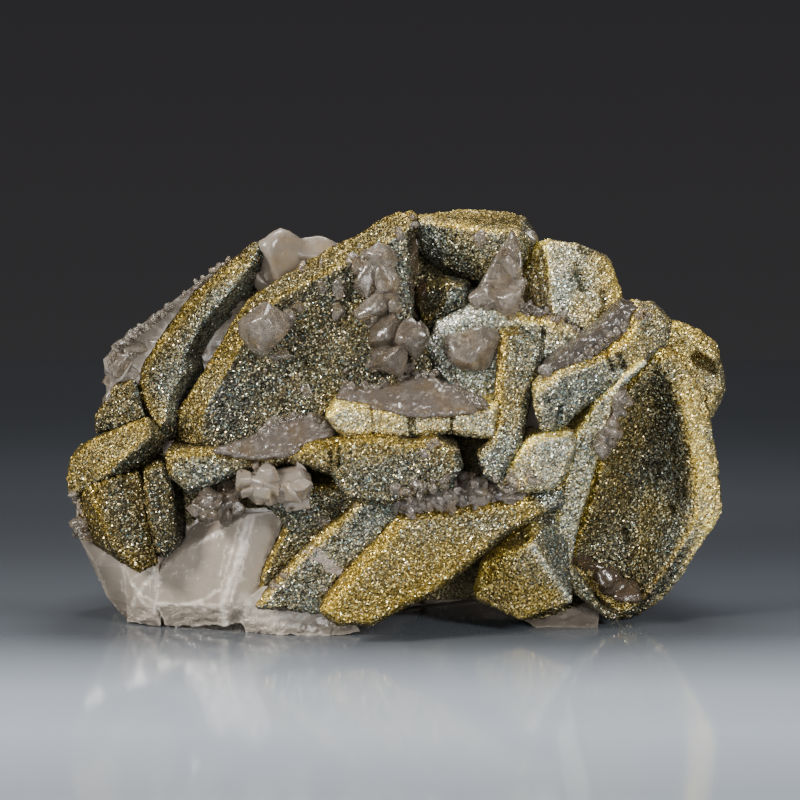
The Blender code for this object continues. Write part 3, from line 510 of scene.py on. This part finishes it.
def druse_material(name, warmth, value):
    """Tarnished brassy grains with painted shade between them: gold where warm, olive grey and teal where
    cool, with painted glints.

    Stored numbers say where it is warmer and where light and shade are painted on it, and calcite shows
    through where the druse is bare.
    """
    n = Nodes(name)
    grain = n.cells(GLINT)
    pick, lift, turn = n.split(grain)[:3]
    warm = n.ramp(pick, [
        (0.0, (0.130, 0.092, 0.021)), (0.45, (0.245, 0.176, 0.040)), (0.8, (0.43, 0.32, 0.090)),
        (1.0, (0.68, 0.53, 0.22)),
    ])
    cool = n.ramp(pick, [
        (0.0, (0.064, 0.061, 0.045)), (0.45, (0.132, 0.129, 0.100)), (0.8, (0.24, 0.254, 0.214)),
        (1.0, (0.42, 0.52, 0.49)),
    ])
    glint = n.ramp(turn, [
        (0.0, (0.36, 0.74, 0.78)), (0.22, (0.80, 0.82, 0.74)), (0.45, (0.95, 0.72, 0.28)),
        (0.7, (0.50, 0.76, 0.66)), (0.86, (0.95, 0.82, 0.48)), (1.0, (0.78, 0.60, 0.70)),
    ])
    warm_here = n.add("Attribute", attribute_name="warm").outputs["Fac"]
    painted_light_and_tone = n.add("Attribute", attribute_name="painted_light_and_tone").outputs["Fac"]
    patch = n.math("MULTIPLY", n.math("SUBTRACT", n.noise(9.0), 0.5), 1.4)
    stray = n.math("MULTIPLY", n.math("SUBTRACT", turn, 0.5), 0.7)
    factor = n.math("ADD", n.math("ADD", patch, stray), warm_here)
    total = n.math("ADD", factor, warmth)
    factor = n.math("ADD", total, 0.0, clamp=True)
    deep = n.math("SUBTRACT", total, 0.9, clamp=True)
    # painted shade in the hollows between clumps of grains
    hollow = n.math("MULTIPLY", n.math("SUBTRACT", n.depth_in_cell(CLUMP), 0.25), 0.7, clamp=True)
    # the stored painted light and shade, times the blade's brightness, which is partly painted light and
    # shade too
    shade = n.math("ADD", n.math("MULTIPLY", painted_light_and_tone, 1.3), 0.85)
    shade = n.math("MULTIPLY", n.math("MAXIMUM", shade, 0.35), value)
    shade = n.math("MULTIPLY", shade, n.math("SUBTRACT", 1.1, hollow))
    metal = n.blend(deep, n.blend(factor, cool, warm), (0.98, 0.89, 0.40, 1), "MULTIPLY")
    colour = n.blend(1.0, metal, n.even(shade), "MULTIPLY")
    # painted glints: bright cells in the grains' own gold, teal, silver and lilac
    painted_glint = n.math("MULTIPLY", n.math("GREATER_THAN", lift, 0.87), n.math("SUBTRACT", 1.0, hollow))
    gold = n.blend(n.math("MULTIPLY", factor, 0.5), glint, (0.95, 0.74, 0.32, 1))
    colour = n.blend(n.math("MULTIPLY", painted_glint, 0.9), colour, gold)
    bare = n.add("Attribute", attribute_name="bare").outputs["Fac"]
    mottled = n.math("ADD", n.math("MULTIPLY", bare, 0.55), n.noise(1.0, 3.0))
    thin = n.math("MULTIPLY", n.math("SUBTRACT", mottled, 0.95), 8.0, clamp=True)
    n.put(n.shader.inputs["Base Color"], n.blend(thin, colour, (0.30, 0.25, 0.21, 1)))
    n.put(n.shader.inputs["Metallic"], n.math("MULTIPLY", n.math("SUBTRACT", 1.0, thin), 0.85))
    rough = n.math("ADD", n.math("MULTIPLY", turn, 0.2), 0.22)
    rough = n.math("SUBTRACT", rough, n.math("MULTIPLY", painted_glint, 0.1))
    n.put(n.shader.inputs["Roughness"], rough)
    n.put(n.shader.inputs["Normal"], n.tilted(grain, 0.7))
    return n.material


def calcite_material(name, tint, clearness, veils, roughness, size, sparkle, lined):
    """See-through calcite, amber in places, with white clouds and lines, and white where "veil" says so."""
    n = Nodes(name)
    cloud = n.math("MULTIPLY", n.math("SUBTRACT", n.noise(size, 3.0), 0.52), 4.0, clamp=True)
    wave = n.math("ABSOLUTE", n.math("SUBTRACT", n.noise(size * 0.8, 2.0), 0.5))
    line = n.math("SUBTRACT", 1.0, n.math("MULTIPLY", wave, 22.0), clamp=True)
    veil = n.add("Attribute", attribute_name="veil").outputs["Fac"]
    white = n.math("ADD", n.math("MULTIPLY", cloud, veils), veil)
    white = n.math("ADD", white, n.math("MULTIPLY", line, lined), clamp=True)
    amber = n.math("MULTIPLY", n.math("SUBTRACT", n.noise(3.4, 1.0), 0.52), 5.0, clamp=True)
    clear = n.blend(amber, (*tint, 1), (tint[0] * 1.02, tint[1] * 0.93, tint[2] * 0.72, 1))
    n.put(n.shader.inputs["Base Color"], n.blend(white, clear, (*VEIL_WHITE, 1)))
    n.put(n.shader.inputs["Transmission Weight"],
          n.math("MULTIPLY", n.math("SUBTRACT", 1.0, white), clearness))
    n.put(n.shader.inputs["Roughness"], n.math("ADD", n.math("MULTIPLY", white, 0.3), roughness))
    n.put(n.shader.inputs["IOR"], REFRACTION)
    n.put(n.shader.inputs["Normal"], n.tilted(n.cells(FACET), sparkle))
    return n.material


def base_material():
    """Clear cleaved calcite with white streaks, under dark druse where "tarnish" says so.

    Painted shade darkens it where a stored number says so, and it is white where "veil" says so.
    """
    n = Nodes("clear_calcite_look")
    cloud = n.math("MULTIPLY", n.math("SUBTRACT", n.noise(6.0, 5.0), 0.54), 0.5, clamp=True)
    stretched = n.add("VectorMath", {0: n.place, 1: (1.0, 1.0, 0.16)}, operation="MULTIPLY").outputs[0]
    streak = n.add("TexNoise", {"Vector": stretched, "Scale": 1 / (0.8 * MM), "Detail": 3.0}).outputs["Fac"]
    streak = n.math("MULTIPLY", n.math("SUBTRACT", streak, 0.6), 2.5, clamp=True)
    veil = n.add("Attribute", attribute_name="veil").outputs["Fac"]
    white = n.math("ADD", n.math("ADD", cloud, streak), veil, clamp=True)
    tarnish = n.add("Attribute", attribute_name="tarnish").outputs["Fac"]
    dark = n.math("SUBTRACT", n.math("ADD", tarnish, n.noise(2.0, 3.0)), 1.0)
    dark = n.math("MULTIPLY", dark, 5.0, clamp=True)
    grain = n.cells(GLINT)
    crust = n.ramp(n.split(grain)[0], [
        (0.0, (0.020, 0.017, 0.008)), (0.6, (0.085, 0.072, 0.035)), (1.0, (0.40, 0.34, 0.18)),
    ])
    painted_shade = n.add("Attribute", attribute_name="painted_shade").outputs["Fac"]
    clear = n.blend(white, (0.62, 0.53, 0.435, 1), (0.85, 0.79, 0.69, 1))
    # painted shade on the rim and at the bottom
    clear = n.blend(painted_shade, clear, (0.15, 0.128, 0.105, 1))
    n.put(n.shader.inputs["Base Color"], n.blend(dark, clear, crust))
    n.put(n.shader.inputs["Metallic"], n.math("MULTIPLY", dark, 0.8))
    see = n.math("MULTIPLY", n.math("SUBTRACT", 1.0, white), 0.5)
    n.put(n.shader.inputs["Transmission Weight"], n.math("MULTIPLY", see, n.math("SUBTRACT", 1.0, dark)))
    rough = n.math("ADD", n.math("MULTIPLY", white, 0.3), n.math("MULTIPLY", dark, 0.3))
    n.put(n.shader.inputs["Roughness"], n.math("ADD", rough, 0.2))
    n.put(n.shader.inputs["IOR"], REFRACTION)
    n.put(n.shader.inputs["Normal"], n.tilted(grain, n.math("MULTIPLY", dark, 0.8)))
    return n.material


# Meshes


def copy_of(node):
    """A new object with a CAD node's own shape."""
    source = frame["nodes"][node]
    ob = bpy.data.objects.new(node + "_surface", source.data.copy())
    bpy.context.scene.collection.objects.link(ob)
    ob.data.materials.clear()
    return ob


def apply_modifiers(ob):
    """Bakes an object's modifiers into its mesh."""
    graph = bpy.context.evaluated_depsgraph_get()
    mesh = bpy.data.meshes.new_from_object(ob.evaluated_get(graph))
    ob.modifiers.clear()
    ob.data = mesh


def remesh(ob, size):
    """Turns a solid into even squares of a size in millimetres."""
    step = ob.modifiers.new("grid", "REMESH")
    step.mode = "VOXEL"
    step.voxel_size = size * MM
    apply_modifiers(ob)


def points_of(mesh):
    """The mesh's points, and their normals, as arrays in millimetres."""
    points = np.empty(len(mesh.vertices) * 3, dtype=np.float32)
    normals = np.empty(len(mesh.vertices) * 3, dtype=np.float32)
    mesh.vertices.foreach_get("co", points)
    mesh.vertex_normals.foreach_get("vector", normals)
    return points.reshape(-1, 3) / MM, normals.reshape(-1, 3)


def set_points(mesh, points):
    """Moves the mesh's points to an array of places in millimetres."""
    mesh.vertices.foreach_set("co", (points * MM).astype(np.float32).ravel())
    mesh.update()


def smooth_noise(points, size, offset=0.0):
    """Noise from -1 to 1 at each point, of a size in millimetres."""
    return np.array([noise.noise(Vector(p) / size + Vector((offset, 0, 0))) for p in points.tolist()])


def sharp_edges(node, angle=25.0):
    """The start and end of each outward edge of a CAD node that is sharper than an angle."""
    bm = bmesh.new()
    bm.from_mesh(frame["nodes"][node].data)
    bmesh.ops.remove_doubles(bm, verts=bm.verts, dist=1e-6)
    found = [
        [v.co / MM for v in e.verts] for e in bm.edges
        if len(e.link_faces) == 2 and e.is_convex and e.calc_face_angle() > math.radians(angle)
    ]
    bm.free()
    return np.array(found, dtype=np.float32).reshape(-1, 2, 3)


def distance_to(points, edges):
    """Each point's distance to the nearest of some straight edges."""
    nearest = np.full(len(points), 100.0)
    for start, end in edges:
        along = end - start
        share = np.clip((points - start) @ along / max(along @ along, 1e-9), 0, 1)
        nearest = np.minimum(nearest, np.linalg.norm(points - start - share[:, None] * along, axis=1))
    return nearest


def keep_number(ob, name, values):
    """Stores one number for each point of a mesh."""
    attribute = ob.data.attributes.new(name, "FLOAT", "POINT")
    attribute.data.foreach_set("value", values.astype(np.float32))


def finish_piece(ob, node, material):
    """Gives a piece its material and its place in the model, and hides the CAD node that it stands for."""
    ob.data.materials.clear()
    ob.data.materials.append(material)
    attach(ob, "root")
    if node:
        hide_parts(node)


def coated(node, seed):
    """A blade under its druse: every point of the skin is moved its own way, so that it is grainy.

    Light from the upper left is painted into the coat: it is warmest and brightest where it faces there,
    and most of all on an edge, with painted shade where it faces away and in its pits and grooves.
    """
    ob = copy_of(node)
    remesh(ob, GRAIN)
    points, normals = points_of(ob.data)
    rim = np.clip(1 - distance_to(points, sharp_edges(node)) / RIM, 0, 1)
    coarse = COARSENESS.get(node, 1.0)
    fine = smooth_noise(points, 1.4, 7.0) * 0.16 + smooth_noise(points, 0.75, 11.0) * 0.10
    waves = smooth_noise(points, 7.0) * 0.3 + fine * coarse + COAT
    draw = np.random.default_rng(seed)
    grain = draw.uniform(-1, 1, len(points)) * GRAIN_LIFT * coarse
    slide = draw.uniform(-1, 1, points.shape) * GRAIN_SLIDE
    moved = points + normals * (waves + grain)[:, None] + slide
    across, up = as_seen(points)
    in_front = np.clip(0.3 - normals[:, 1] * 3, 0, 1)
    cut = np.clip(smooth_noise(points, 1.8, 20.0) - 0.25, 0, 1) * PITS.get(node, 0)
    for path, width, depth in GROOVES.get(node, ()):
        cut = cut + near_path(across, up, path, width) * depth * in_front
    moved = moved - normals * cut[:, None]
    bare = np.zeros(len(points))
    for path, width in BARE.get(node, ()):
        bare = np.maximum(bare, near_path(across, up, path, width) * in_front)
    set_points(ob.data, moved)
    keep_number(ob, "bare", bare)
    # painted light from the upper left: brighter and warmer where the coat faces it, most of all on an
    # edge, with painted shade where it faces away
    facing = normals @ np.array(PAINTED_LIGHT_FROM)
    lit = np.clip((facing - 0.42) / 0.4, 0, 1)
    painted_light_and_tone = lit * (0.55 + 0.45 * rim) + np.clip(facing, -0.5, 0) * 0.4 + rim * 0.12
    warm = painted_light_and_tone.copy()
    # painted shade in the pits and grooves
    painted_light_and_tone -= np.clip(cut * 2, 0, 1) * 0.7
    # patches of tarnish colour, and of painted light and shade
    for path, width, warmer, brighter in TINTS_AND_PAINTED_LIGHT.get(node, ()):
        near = near_path(across, up, path, width) * in_front
        warm += near * warmer
        painted_light_and_tone += near * brighter
    keep_number(ob, "warm", warm)
    keep_number(ob, "painted_light_and_tone", painted_light_and_tone)
    ob.data.shade_flat()
    finish_piece(ob, node, druse_material(node + "_druse", *TONES[node]))


def crust(node, seed, material):
    """A crust of fine clear crystals, a little taller than the solid it stands for."""
    ob = copy_of(node)
    remesh(ob, CRUST_GRAIN)
    points, normals = points_of(ob.data)
    draw = np.random.default_rng(seed)
    lumps = np.abs(smooth_noise(points, 2.6, 3.0)) * 0.5 + np.abs(smooth_noise(points, 0.9, 8.0)) * 0.34
    set_points(ob.data, points + normals * (lumps + draw.uniform(0, 0.05, len(points)))[:, None])
    keep_number(ob, "veil", np.clip(smooth_noise(points, 0.4, 30.0) * 6 - 3.2, 0, 0.6))
    ob.data.shade_smooth()
    finish_piece(ob, node, material)


def crystal(bm, centre, size, turn, draw):
    """Adds one clear crystal to a bmesh: a rounded block with uneven flats."""
    made = bmesh.ops.create_icosphere(bm, subdivisions=3 if min(size) > 1.5 else 2, radius=0.5)
    flats = [
        (Vector([draw.uniform(-1, 1) for _ in range(3)]).normalized(), draw.uniform(*FLAT_REACH))
        for _ in range(FLATS)
    ]
    for v in made["verts"]:
        spot = v.co.copy()
        for direction, reach in flats:
            over = spot.dot(direction) - reach
            if over > 0:
                spot -= direction * over
        v.co = turn @ Vector([spot[k] * size[k] * WIDTH_LOST_TO_FLATS for k in range(3)]) + centre


def random_turn(draw, normal):
    """A turn that sets a crystal's long axis near a direction."""
    aim = (normal + Vector([draw.uniform(-LEAN, LEAN) for _ in range(3)])).normalized()
    return aim.to_track_quat("Z", "X").to_matrix() @ Matrix.Rotation(draw.uniform(0, 3.1), 3, "Z")


def random_size(draw, widths):
    """A small crystal's size in its three directions, with a width between two."""
    wide = draw.uniform(*widths)
    return wide, wide * draw.uniform(0.7, 1.0), wide * draw.uniform(0.9, 1.5)


def grown_on(node, count, widths, seed):
    """Places for crystals on a CAD node's skin, where a seat may be: centre, size and turn."""
    mesh = frame["nodes"][node].data
    mesh.calc_loop_triangles()
    draw = random.Random(seed)
    facing = Vector(SEAT_FACING).normalized()
    faces = [t for t in mesh.loop_triangles if t.normal.dot(facing) > SEAT_REACH]
    picked = draw.choices(faces, weights=[t.area for t in faces], k=count)
    places = []
    for t in picked:
        a, b = sorted((draw.random(), draw.random()))
        corners = [mesh.vertices[i].co for i in t.vertices]
        spot = corners[0] * a + corners[1] * (b - a) + corners[2] * (1 - b)
        size = random_size(draw, widths)
        turn = random_turn(draw, t.normal)
        places.append((spot / MM - t.normal * size[0] * ROOT, size, turn))
    return places, draw


def softened(bm, node):
    """Adds a CAD node's solid to a bmesh with its edges rounded, in millimetres."""
    ob = copy_of(node)
    remesh(ob, SOFT_GRAIN)
    soft = bmesh.new()
    soft.from_mesh(ob.data)
    for _ in range(3):
        bmesh.ops.smooth_vert(soft, verts=soft.verts, factor=0.5, use_axis_x=True, use_axis_y=True,
                              use_axis_z=True)
    bmesh.ops.scale(soft, vec=(1 / MM,) * 3, verts=soft.verts)
    soft.to_mesh(ob.data)
    soft.free()
    bm.from_mesh(ob.data)
    bpy.data.objects.remove(ob, do_unlink=True)


def gems(name, places, draw, material, node=None):
    """One piece of many clear crystals, with the CAD solid that they grow from if it has one."""
    bm = bmesh.new()
    if node:
        softened(bm, node)
    for centre, size, turn in places:
        crystal(bm, centre, size, turn, draw)
    bmesh.ops.scale(bm, vec=(MM, MM, MM), verts=bm.verts)
    bmesh.ops.triangulate(bm, faces=bm.faces)
    mesh = bpy.data.meshes.new(name)
    bm.to_mesh(mesh)
    bm.free()
    mesh.shade_smooth()
    ob = bpy.data.objects.new(name, mesh)
    bpy.context.scene.collection.objects.link(ob)
    finish_piece(ob, node, material)


def divided(ob):
    """Splits the base's long edges, finer at the front of the foot, and leaves its faces flat."""
    bm = bmesh.new()
    bm.from_mesh(ob.data)
    bmesh.ops.remove_doubles(bm, verts=bm.verts, dist=1e-6)
    for _ in range(9):
        wide = []
        for e in bm.edges:
            middle = (e.verts[0].co + e.verts[1].co) / 2 / MM
            at_foot = middle.x < -8 and middle.y < -4 and middle.z < 20
            if e.calc_length() > (FOOT_FACE if at_foot else BASE_FACE) * MM:
                wide.append(e)
        if not wide:
            break
        bmesh.ops.subdivide_edges(bm, edges=wide, cuts=1)
        bmesh.ops.triangulate(bm, faces=[f for f in bm.faces if len(f.verts) > 3])
    bm.to_mesh(ob.data)
    bm.free()


def cleaved_base(material):
    """The clear base: flat cleavage faces, with chipped edges, white ridges and a shattered foot."""
    ob = copy_of("calcite_base")
    divided(ob)
    points, normals = points_of(ob.data)
    edge = np.clip(1 - distance_to(points, sharp_edges("calcite_base", 12.0)) / CHIPPED, 0, 1)
    across, up = as_seen(points)
    in_front = np.clip(-points[:, 1] / 4, 0, 1)
    coarse = np.clip(smooth_noise(points, 2.6, 5.0) * 2.4 + 0.3, 0, 1)
    fine = smooth_noise(points, 0.9, 9.0)
    veil = edge * np.clip(coarse + 0.25, 0, 1) * 0.9
    ragged = across + smooth_noise(points, 0.9, 50.0) * 0.4, up + smooth_noise(points, 1.5, 60.0) * 0.4
    for path, width, white in WHITE_LINES:
        veil = np.maximum(veil, near_path(*ragged, path, width) * white * in_front)
    tarnish = np.zeros(len(points))
    for x, z, wide, tall in TARNISHED:
        spread = ((across - x) / wide) ** 2 + ((up - z) / tall) ** 2
        tarnish = np.maximum(tarnish, np.clip((1.3 - spread) * 2, 0, 1))
    keep_number(ob, "tarnish", tarnish * np.clip(1 - points[:, 1] / 8, 0, 1))
    # painted shade along the listed paths
    painted_shade = np.zeros(len(points))
    for path, width in PAINTED_SHADE_PATHS:
        painted_shade = np.maximum(painted_shade, near_path(across, up, path, width))
    keep_number(ob, "painted_shade", painted_shade * 0.8)
    veil = veil + np.clip(fine * 2.5 - 0.9, 0, 1) * 0.4
    broken = np.clip(1.3 - up / 2.6, 0, 1) * in_front
    chips = np.round(smooth_noise(points * (1.0, 0.6, 1.6), 1.8, 3.0) * 3) / 3
    moved = points + normals * (chips * (0.05 + 0.35 * broken) - edge * np.abs(fine) * 0.3)[:, None]
    set_points(ob.data, moved)
    keep_number(ob, "veil", np.clip(veil * (0.7 + fine * 0.6), 0, 1))
    ob.data.shade_flat()
    finish_piece(ob, "calcite_base", material)


def on_skin(x, z):
    """The spot on the model, and its outward direction, that an observer in front sees at x and z."""
    eye = (eye_place() + SHIFT) * MM
    hits = [tree.ray_cast(eye, sight(x, z).normalized()) for tree in SKINS]
    hits = [hit for hit in hits if hit[0]]
    if not hits:
        return None
    spot, normal, _, _ = min(hits, key=lambda hit: hit[3])
    return spot / MM, normal


def set_crystals(rows, seed):
    """Places for single crystals that are listed as seen from in front, each seated on the model.

    One that is listed just outside the outline is seated a little nearer to the middle.
    """
    draw = random.Random(seed)
    places = []
    for x, z, width, height in rows:
        found = on_skin(x, z) or on_skin(x * 0.97, z * 0.97)
        if not found:
            continue
        spot, normal = found
        size = (width, (width + height) * 0.4, height)
        turn = Euler((draw.uniform(-0.3, 0.3), draw.uniform(-0.2, 0.2), draw.uniform(-0.5, 0.5)))
        away = sight(x, z).normalized()
        places.append((spot + away * size[1] * 0.12, size, turn.to_matrix()))
    return places, draw


def strewn(name, path, count, widths, spread, seed, material):
    """Small crystals strewn along a path that is seen from in front, each seated on the model."""
    draw = random.Random(seed)
    places = []
    for i in range(count):
        along = draw.random() * (len(path) - 1)
        k = int(along)
        x = path[k][0] + (path[k + 1][0] - path[k][0]) * (along - k) + draw.uniform(-spread, spread)
        z = path[k][1] + (path[k + 1][1] - path[k][1]) * (along - k) + draw.uniform(-spread, spread)
        found = on_skin(x, z)
        if not found:
            continue
        spot, normal = found
        size = random_size(draw, widths)
        places.append((spot + normal * size[0] * ROOT, size, random_turn(draw, normal)))
    gems(name, places, draw, material)


# Floor, light and camera


def sheet(name, profile, material):
    """A wide flat sheet between two places in the side view, each a depth and a height."""
    bm = bmesh.new()
    near, far = [
        [bm.verts.new((x * MM, y * MM, z * MM)) for x in (-1200, 1200)] for y, z in profile
    ]
    bm.faces.new((near[0], near[1], far[1], far[0]))
    mesh = bpy.data.meshes.new(name)
    bm.to_mesh(mesh)
    bm.free()
    ob = bpy.data.objects.new(name, mesh)
    bpy.context.scene.collection.objects.link(ob)
    mesh.materials.append(material)


def floor_material():
    """Pale glossy board, bright in front, with shade painted on it towards the back."""
    n = Nodes("floor")
    depth = n.add("SeparateXYZ", {0: n.place}).outputs["Y"]
    near, far = FLOOR_TONES[0][0], FLOOR_TONES[-1][0]
    share = n.add("MapRange", {"Value": depth, "From Min": near * MM, "From Max": far * MM}).outputs[0]
    stops = [
        ((y - near) / (far - near), (tone * 0.91, tone * 1.02, tone * 1.18)) for y, tone in FLOOR_TONES
    ]
    n.put(n.shader.inputs["Base Color"], n.ramp(share, stops))
    n.put(n.shader.inputs["Roughness"], 0.10)
    gloss = n.add("MapRange", {"Value": depth, "From Min": 0.0, "From Max": 0.12, "To Min": 0.8,
                               "To Max": 0.03}).outputs[0]
    n.put(n.shader.inputs["Specular IOR Level"], gloss)
    return n.material


def backdrop_material():
    """Dark matte paper whose tone is painted in as a glow, a little lighter towards the floor."""
    n = Nodes("backdrop")
    height = n.add("SeparateXYZ", {0: n.place}).outputs["Z"]
    share = n.add("MapRange", {"Value": height, "From Min": 0.0, "From Max": 0.14}).outputs[0]
    n.put(n.shader.inputs["Base Color"], grey(0.0))
    n.put(n.shader.inputs["Emission Color"], n.ramp(share, [
        (0.0, (0.034, 0.033, 0.035)), (0.5, (0.031, 0.029, 0.031)), (1.0, (0.0265, 0.0248, 0.0275)),
    ]))
    n.put(n.shader.inputs["Emission Strength"], 1.0)
    n.put(n.shader.inputs["Roughness"], 1.0)
    n.put(n.shader.inputs["Specular IOR Level"], 0.0)
    return n.material


def light(name, place, target, size, power, colour):
    """A soft square light at a place, turned to a target, both in millimetres."""
    data = bpy.data.lights.new(name, "AREA")
    data.size = size * MM
    data.energy = power
    data.color = colour
    ob = bpy.data.objects.new(name, data)
    bpy.context.scene.collection.objects.link(ob)
    ob.location = Vector(place) * MM
    ob.rotation_euler = (Vector(target) - Vector(place)).to_track_quat("-Z", "Y").to_euler()


def camera():
    """The camera at the photograph's distance, height and tilt."""
    data = bpy.data.cameras.new("camera")
    data.lens = LENS
    data.sensor_width = SENSOR
    ob = bpy.data.objects.new("camera", data)
    bpy.context.scene.collection.objects.link(ob)
    target = Vector((0, 0, EYE_TARGET_HEIGHT)) + SHIFT
    eye = eye_place() + SHIFT
    ob.location = eye * MM
    ob.rotation_euler = (target - eye).to_track_quat("-Z", "Y").to_euler()
    bpy.context.scene.camera = ob


def world(value):
    """Dim even light from all round."""
    made = bpy.data.worlds.new("world")
    made.use_nodes = True
    made.node_tree.nodes["Background"].inputs["Color"].default_value = grey(value)
    bpy.context.scene.world = made


# The model


for seed, node in enumerate(TONES):
    coated(node, seed)

looks = {name: calcite_material(name, *row) for name, row in LOOKS.items()}
cleaved_base(base_material())
for seed, (node, look) in enumerate(CRUSTS.items()):
    crust(node, 200 + seed, looks[look])
for seed, (node, count, widths, look) in enumerate(GROWN):
    places, draw = grown_on(node, count, widths, 300 + seed)
    gems(node + "_gems", places, draw, looks[look], node)

SKINS = [
    BVHTree.FromPolygons([v.co for v in ob.data.vertices], [tuple(p.vertices) for p in ob.data.polygons])
    for ob in frame["nodes"].values()
]
for seed, (node, (look, rows)) in enumerate(CRYSTALS.items()):
    places, draw = set_crystals(rows, 400 + seed)
    gems(node + "_gems", places, draw, looks[look], node)
for seed, (name, (look, rows)) in enumerate(LOOSE_CRYSTALS.items()):
    places, draw = set_crystals(rows, 420 + seed)
    gems(name, places, draw, looks[look])
for name, row in STREWN.items():
    strewn(name, *row, looks["crystal_look"])

sheet("floor", [(-500, 0), (FLOOR_BACK, 0)], floor_material())
sheet("backdrop", [(FLOOR_BACK, -1), (FLOOR_BACK, BACKDROP)], backdrop_material())
for name, row in LIGHTS.items():
    light(name, *row)
world(DIM_LIGHT)
camera()
